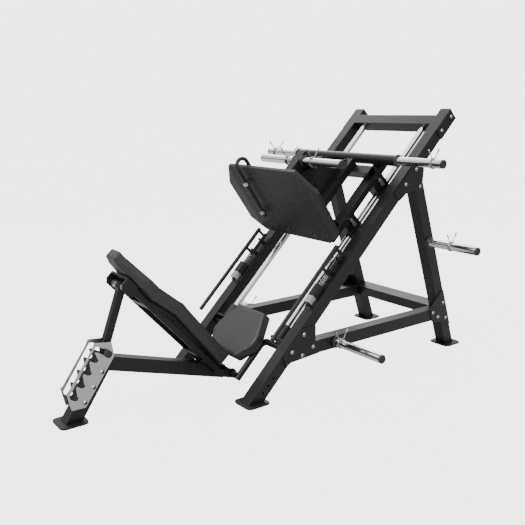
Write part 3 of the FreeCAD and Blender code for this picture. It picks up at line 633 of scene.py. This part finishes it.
# %% Sweep a circle along a line
def tube_along(bm, points, radius, sides):
    """Sweep a circle along points; the ends are closed."""
    rings = []
    side = Vector((1, 0, 0))
    for i, point in enumerate(points):
        before = points[max(i - 1, 0)]
        after = points[min(i + 1, len(points) - 1)]
        way = (after - before).normalized()
        side = side - way * side.dot(way)
        if side.length < 1e-6:
            side = way.orthogonal()
        side.normalize()
        other = way.cross(side)
        ring = []
        for k in range(sides):
            turn = 2 * math.pi * k / sides
            spoke = side * math.cos(turn) + other * math.sin(turn)
            ring.append(bm.verts.new(point + spoke * radius))
        rings.append(ring)
    for low, high in zip(rings, rings[1:]):
        for k in range(sides):
            bm.faces.new((low[k], low[(k + 1) % sides], high[(k + 1) % sides], high[k]))
    bm.faces.new(list(reversed(rings[0])))
    bm.faces.new(rings[-1])


print("sweep ready")

# %% Wire clips
CLIP_RADIUS, CLIP_WIRE, CLIP_WIDE = 0.0283, 0.0028, 0.011
CLIP_START, CLIP_SWEEP, CLIP_STEPS = math.radians(55), math.radians(2 * 360 + 70), 64
HANDLE, HANDLE_LEAN = 0.062, 0.004
HANDLE_BEND, HANDLE_END = (0.12, 0.16), (0.62, 0.85)
TIP_RADIUS, TIP_RINGS = 0.0046, (0.020, 0.018, 0.0, -0.002)


def clip_line(sleeve, sign):
    """Coil round the sleeve, ends standing out in a V as two handles."""
    x = sign * (sleeve.root + sleeve.clip)
    turns = []
    for i in range(CLIP_STEPS + 1):
        turn = CLIP_START + CLIP_SWEEP * i / CLIP_STEPS
        turns.append((x + sign * CLIP_WIDE * i / CLIP_STEPS, CLIP_RADIUS * math.cos(turn),
                      CLIP_RADIUS * math.sin(turn)))
    first_y, first_z = turns[0][1:]
    last_x, last_y, last_z = turns[-1]
    (bend_y, bend_z), (end_y, end_z) = HANDLE_BEND, HANDLE_END
    first = [(x - sign * HANDLE_LEAN, first_y + HANDLE * end_y, first_z + HANDLE * end_z),
             (x, first_y + HANDLE * bend_y, first_z + HANDLE * bend_z)]
    last = [(last_x, last_y - HANDLE * bend_y, last_z + HANDLE * bend_z),
            (last_x + sign * HANDLE_LEAN, last_y - HANDLE * end_y, last_z + HANDLE * end_z)]
    return [sleeve.slant.at(out, sleeve.u, sleeve.v) + Vector((0, y, z))
            for out, y, z in first + turns + last]


def finger_tip(bm, inner, end):
    """A short dip-coated end on a clip handle."""
    way = (end - inner).normalized()
    tube_along(bm, [end - way * back for back in TIP_RINGS], TIP_RADIUS, 10)


def clips(name, sleeves, body, cad):
    bm = bmesh.new()
    for sign in SIDES:
        for one in sleeves:
            line = clip_line(one, sign)
            tube_along(bm, line, CLIP_WIRE, 8)
            finger_tip(bm, line[1], line[0])
            finger_tip(bm, line[-2], line[-1])
    obj = object_from(name, mesh_from(name, bm), wire, body)
    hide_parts(cad)
    return obj


store_clips = clips("storage_wire_clips", STORE, "frame", "storage_clips")
load_clips = clips("load_wire_clips", LOAD, "carriage", "load_clips")
print("clips", len(store_clips.data.polygons), len(load_clips.data.polygons))

# %% [markdown]
# ## The pads
# A gym pad is foam under stretched vinyl: flat where the board is, crowned on top, with
# rounded corners. Cloth with a little pressure, started from a slightly small copy of the
# CAD pad, gives that swell. A cap keeps every point close to where it began.

# %% Pad helpers
MERGE = 0.0002
SHRINK = 0.0025
SWELL_CAP, PRESSURE, STIFFNESS = 0.003, 3.0, 20
CLOTH_FRAMES = 20


def apply_modifier(obj, name, kind, **settings):
    """Add a modifier, set it up and apply it at once."""
    mod = obj.modifiers.new(name, kind)
    for word, value in settings.items():
        setattr(mod, word, value)
    bpy.ops.object.modifier_apply(modifier=mod.name)


def shrink(obj, by):
    """Pull every point in along its normal, so the swollen pad ends near CAD size."""
    bm = bmesh.new()
    bm.from_mesh(obj.data)
    bm.normal_update()
    for v in bm.verts:
        v.co -= v.normal * by
    bm.to_mesh(obj.data)
    bm.free()


def inflate(obj):
    """Swell the pad as pressed cloth, hold each point near its start, and ease it."""
    start = np.array([v.co for v in obj.data.vertices])
    mod = obj.modifiers.new("cloth", "CLOTH")
    mod.settings.quality = 5
    mod.settings.use_pressure = True
    mod.settings.uniform_pressure_force = PRESSURE
    mod.settings.tension_stiffness = STIFFNESS
    mod.settings.compression_stiffness = STIFFNESS
    mod.settings.effector_weights.gravity = 0
    mod.point_cache.frame_start = 1
    mod.point_cache.frame_end = CLOTH_FRAMES
    for i in range(1, CLOTH_FRAMES + 1):
        bpy.context.scene.frame_set(i)
    bpy.ops.object.modifier_apply(modifier=mod.name)
    move = np.array([v.co for v in obj.data.vertices]) - start
    far = np.linalg.norm(move, axis=1)
    scale = np.minimum(1.0, SWELL_CAP / np.maximum(far, 1e-9))
    end = start + move * scale[:, None]
    obj.data.vertices.foreach_set("co", end.ravel())
    obj.data.update()
    apply_modifier(obj, "ease", "SMOOTH", factor=0.5, iterations=3)
    print(obj.name, "moved up to", round(float(far.max()), 4))


print("pad helpers ready")


# %% Swell a pad
def pad_from(name, cad, body):
    mesh = nodes[cad].data.copy()
    mesh.name = name
    bm = bmesh.new()
    bm.from_mesh(mesh)
    bmesh.ops.remove_doubles(bm, verts=bm.verts, dist=MERGE)
    bm.to_mesh(mesh)
    bm.free()
    obj = object_from(name, mesh, vinyl, body)
    bpy.context.view_layer.objects.active = obj
    for other in bpy.context.selected_objects:
        other.select_set(False)
    obj.select_set(True)
    shrink(obj, SHRINK)
    apply_modifier(obj, "voxel", "REMESH", mode="VOXEL", voxel_size=0.0055)
    apply_modifier(obj, "round", "SMOOTH", factor=0.5, iterations=3)
    inflate(obj)
    apply_modifier(obj, "finer", "SUBSURF", levels=1, render_levels=1)
    obj.data.shade_smooth()
    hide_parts(cad)
    return obj


seat = pad_from("seat_cushion", "seat_pad", "frame")
back = pad_from("back_cushion", "back_pad", "backrest")
bpy.context.scene.frame_set(1)
print("pads", len(seat.data.polygons), len(back.data.polygons))

# %% [markdown]
# ## Seams
# Vinyl covers are sewn from flat panels, so each edge of a pad has a seam. The CAD pad still
# knows where its edges are. Each edge is laid on the swollen cushion as a thin welt, half
# sunk into it.

# %% Lay a seam along each edge
SEAM_ANGLE = 0.18
SEAM_SHORTEST, SEAM_STEP = 0.02, 0.012
WELT_RADIUS = 0.0017


def seams_on(name, cushion, cad, body):
    edges = bmesh.new()
    edges.from_mesh(nodes[cad].data)
    bmesh.ops.remove_doubles(edges, verts=edges.verts, dist=MERGE)
    skin = BVHTree.FromPolygons([v.co for v in cushion.data.vertices],
                                [p.vertices for p in cushion.data.polygons])
    bm = bmesh.new()
    count = 0
    for edge in edges.edges:
        long = edge.calc_length()
        flat = len(edge.link_faces) != 2 or edge.calc_face_angle() < SEAM_ANGLE
        if flat or long < SEAM_SHORTEST:
            continue
        start, end = [v.co for v in edge.verts]
        steps = max(2, int(long / SEAM_STEP))
        line = [start.lerp(end, i / steps) for i in range(steps + 1)]
        tube_along(bm, [skin.find_nearest(point)[0] for point in line], WELT_RADIUS, 6)
        count += 1
    edges.free()
    obj = object_from(name, mesh_from(name, bm), welt, body)
    print(name, "edges", count)


seams_on("seat_seams", seat, "seat_pad", "frame")
seams_on("back_seams", back, "back_pad", "backrest")

# %% [markdown]
# ## The studio
# A dark machine is shown on a pale floor under big soft lights, so that black paint shows as
# bright edges and grey faces. A floor pale enough for that would throw too much light up at
# the machine. So the floor and the sky look bright only where the camera sees them directly,
# and are darker for the light that reaches the machine.

# %% Floor
BACKDROP = 3.8
FLOOR_HALF, FLOOR_DROP = 30, 0.0005
FLOOR_GREY = (0.42, 0.42, 0.42)
FLOOR_GLOW, FLOOR_GLOW_SHARE = 1.2, 0.8


def stage_plane():
    mesh = bpy.data.meshes.new("studio_floor")
    bm = bmesh.new()
    bmesh.ops.create_grid(bm, x_segments=1, y_segments=1, size=FLOOR_HALF)
    bm.to_mesh(mesh)
    bm.free()
    obj = bpy.data.objects.new("studio_floor", mesh)
    bpy.context.scene.collection.objects.link(obj)
    mat, tree, shader, place = new_material("studio floor", FLOOR_GREY, 0.0, 0.8)
    glow = tree.nodes.new("ShaderNodeEmission")
    glow.inputs["Strength"].default_value = BACKDROP * FLOOR_GLOW
    blend = tree.nodes.new("ShaderNodeMixShader")
    path = tree.nodes.new("ShaderNodeLightPath")
    seen = Val(tree, path.outputs["Is Camera Ray"])
    drive(tree, seen * FLOOR_GLOW_SHARE, blend.inputs[0])
    tree.links.new(shader.outputs[0], blend.inputs[1])
    tree.links.new(glow.outputs[0], blend.inputs[2])
    tree.links.new(blend.outputs[0], tree.nodes["Material Output"].inputs["Surface"])
    mesh.materials.append(mat)
    obj.location.z = -FLOOR_DROP
    return obj


floor = stage_plane()
print("backdrop brightness", BACKDROP)

# %% Sky
SKY_TOP, SKY_LOW = 2.5, 0.1
world = bpy.data.worlds.new("studio")
bpy.context.scene.world = world
world.use_nodes = True
sky = world.node_tree
background = sky.nodes["Background"]
background.inputs[0].default_value = (1, 1, 1, 1)
split = sky.nodes.new("ShaderNodeSeparateXYZ")
towards = sky.nodes.new("ShaderNodeTexCoord")
sky.links.new(towards.outputs["Generated"], split.inputs[0])
height = Val(sky, split.outputs["Z"])
dome = height.op("MAXIMUM", 0.0) * SKY_TOP + SKY_LOW
seen = Val(sky, sky.nodes.new("ShaderNodeLightPath").outputs["Is Camera Ray"])
drive(sky, seen * BACKDROP + (1 - seen) * dome, background.inputs[1])
print("sky nodes", len(sky.nodes))


# %% Lights
def area(name, at, target, size, power):
    data = bpy.data.lights.new(name, "AREA")
    data.shape = "SQUARE"
    data.size = size
    data.energy = power
    obj = bpy.data.objects.new(name, data)
    obj.location = at
    way = Vector(target) - Vector(at)
    obj.rotation_euler = way.to_track_quat("-Z", "Y").to_euler()
    bpy.context.scene.collection.objects.link(obj)
    return obj


lights = [
    area("key", at=(0.2, -4.6, 4.4), target=(0, 0, 0.6), size=2.4, power=290),
    area("side", at=(4.8, 1.2, 1.6), target=(0, 0, 0.8), size=1.6, power=8),
    area("back", at=(-3.4, 2.8, 3.4), target=(0, 0, 0.8), size=3.0, power=120),
]
print("lights", len(lights))

# %% [markdown]
# ## The camera
# It stands about four metres off, as high as the machine's top, and looks down a little, so
# that the seat, the foot board and the sleeves of both sides show in one view.

# %% Camera
CAMERA_X, CAMERA_Y, CAMERA_Z = 3.0838, -1.9671, 1.5353
LOOK_DOWN, LOOK_ROUND = math.radians(90 - 12.674), math.radians(52.973)
lens = bpy.data.cameras.new("camera")
lens.lens = 45.72
lens.sensor_width = 36
camera = bpy.data.objects.new("camera", lens)
camera.location = (CAMERA_X, CAMERA_Y + SHIFT, CAMERA_Z)
camera.rotation_euler = (LOOK_DOWN, 0, LOOK_ROUND)
bpy.context.scene.collection.objects.link(camera)
bpy.context.scene.camera = camera
print("camera", camera.location)
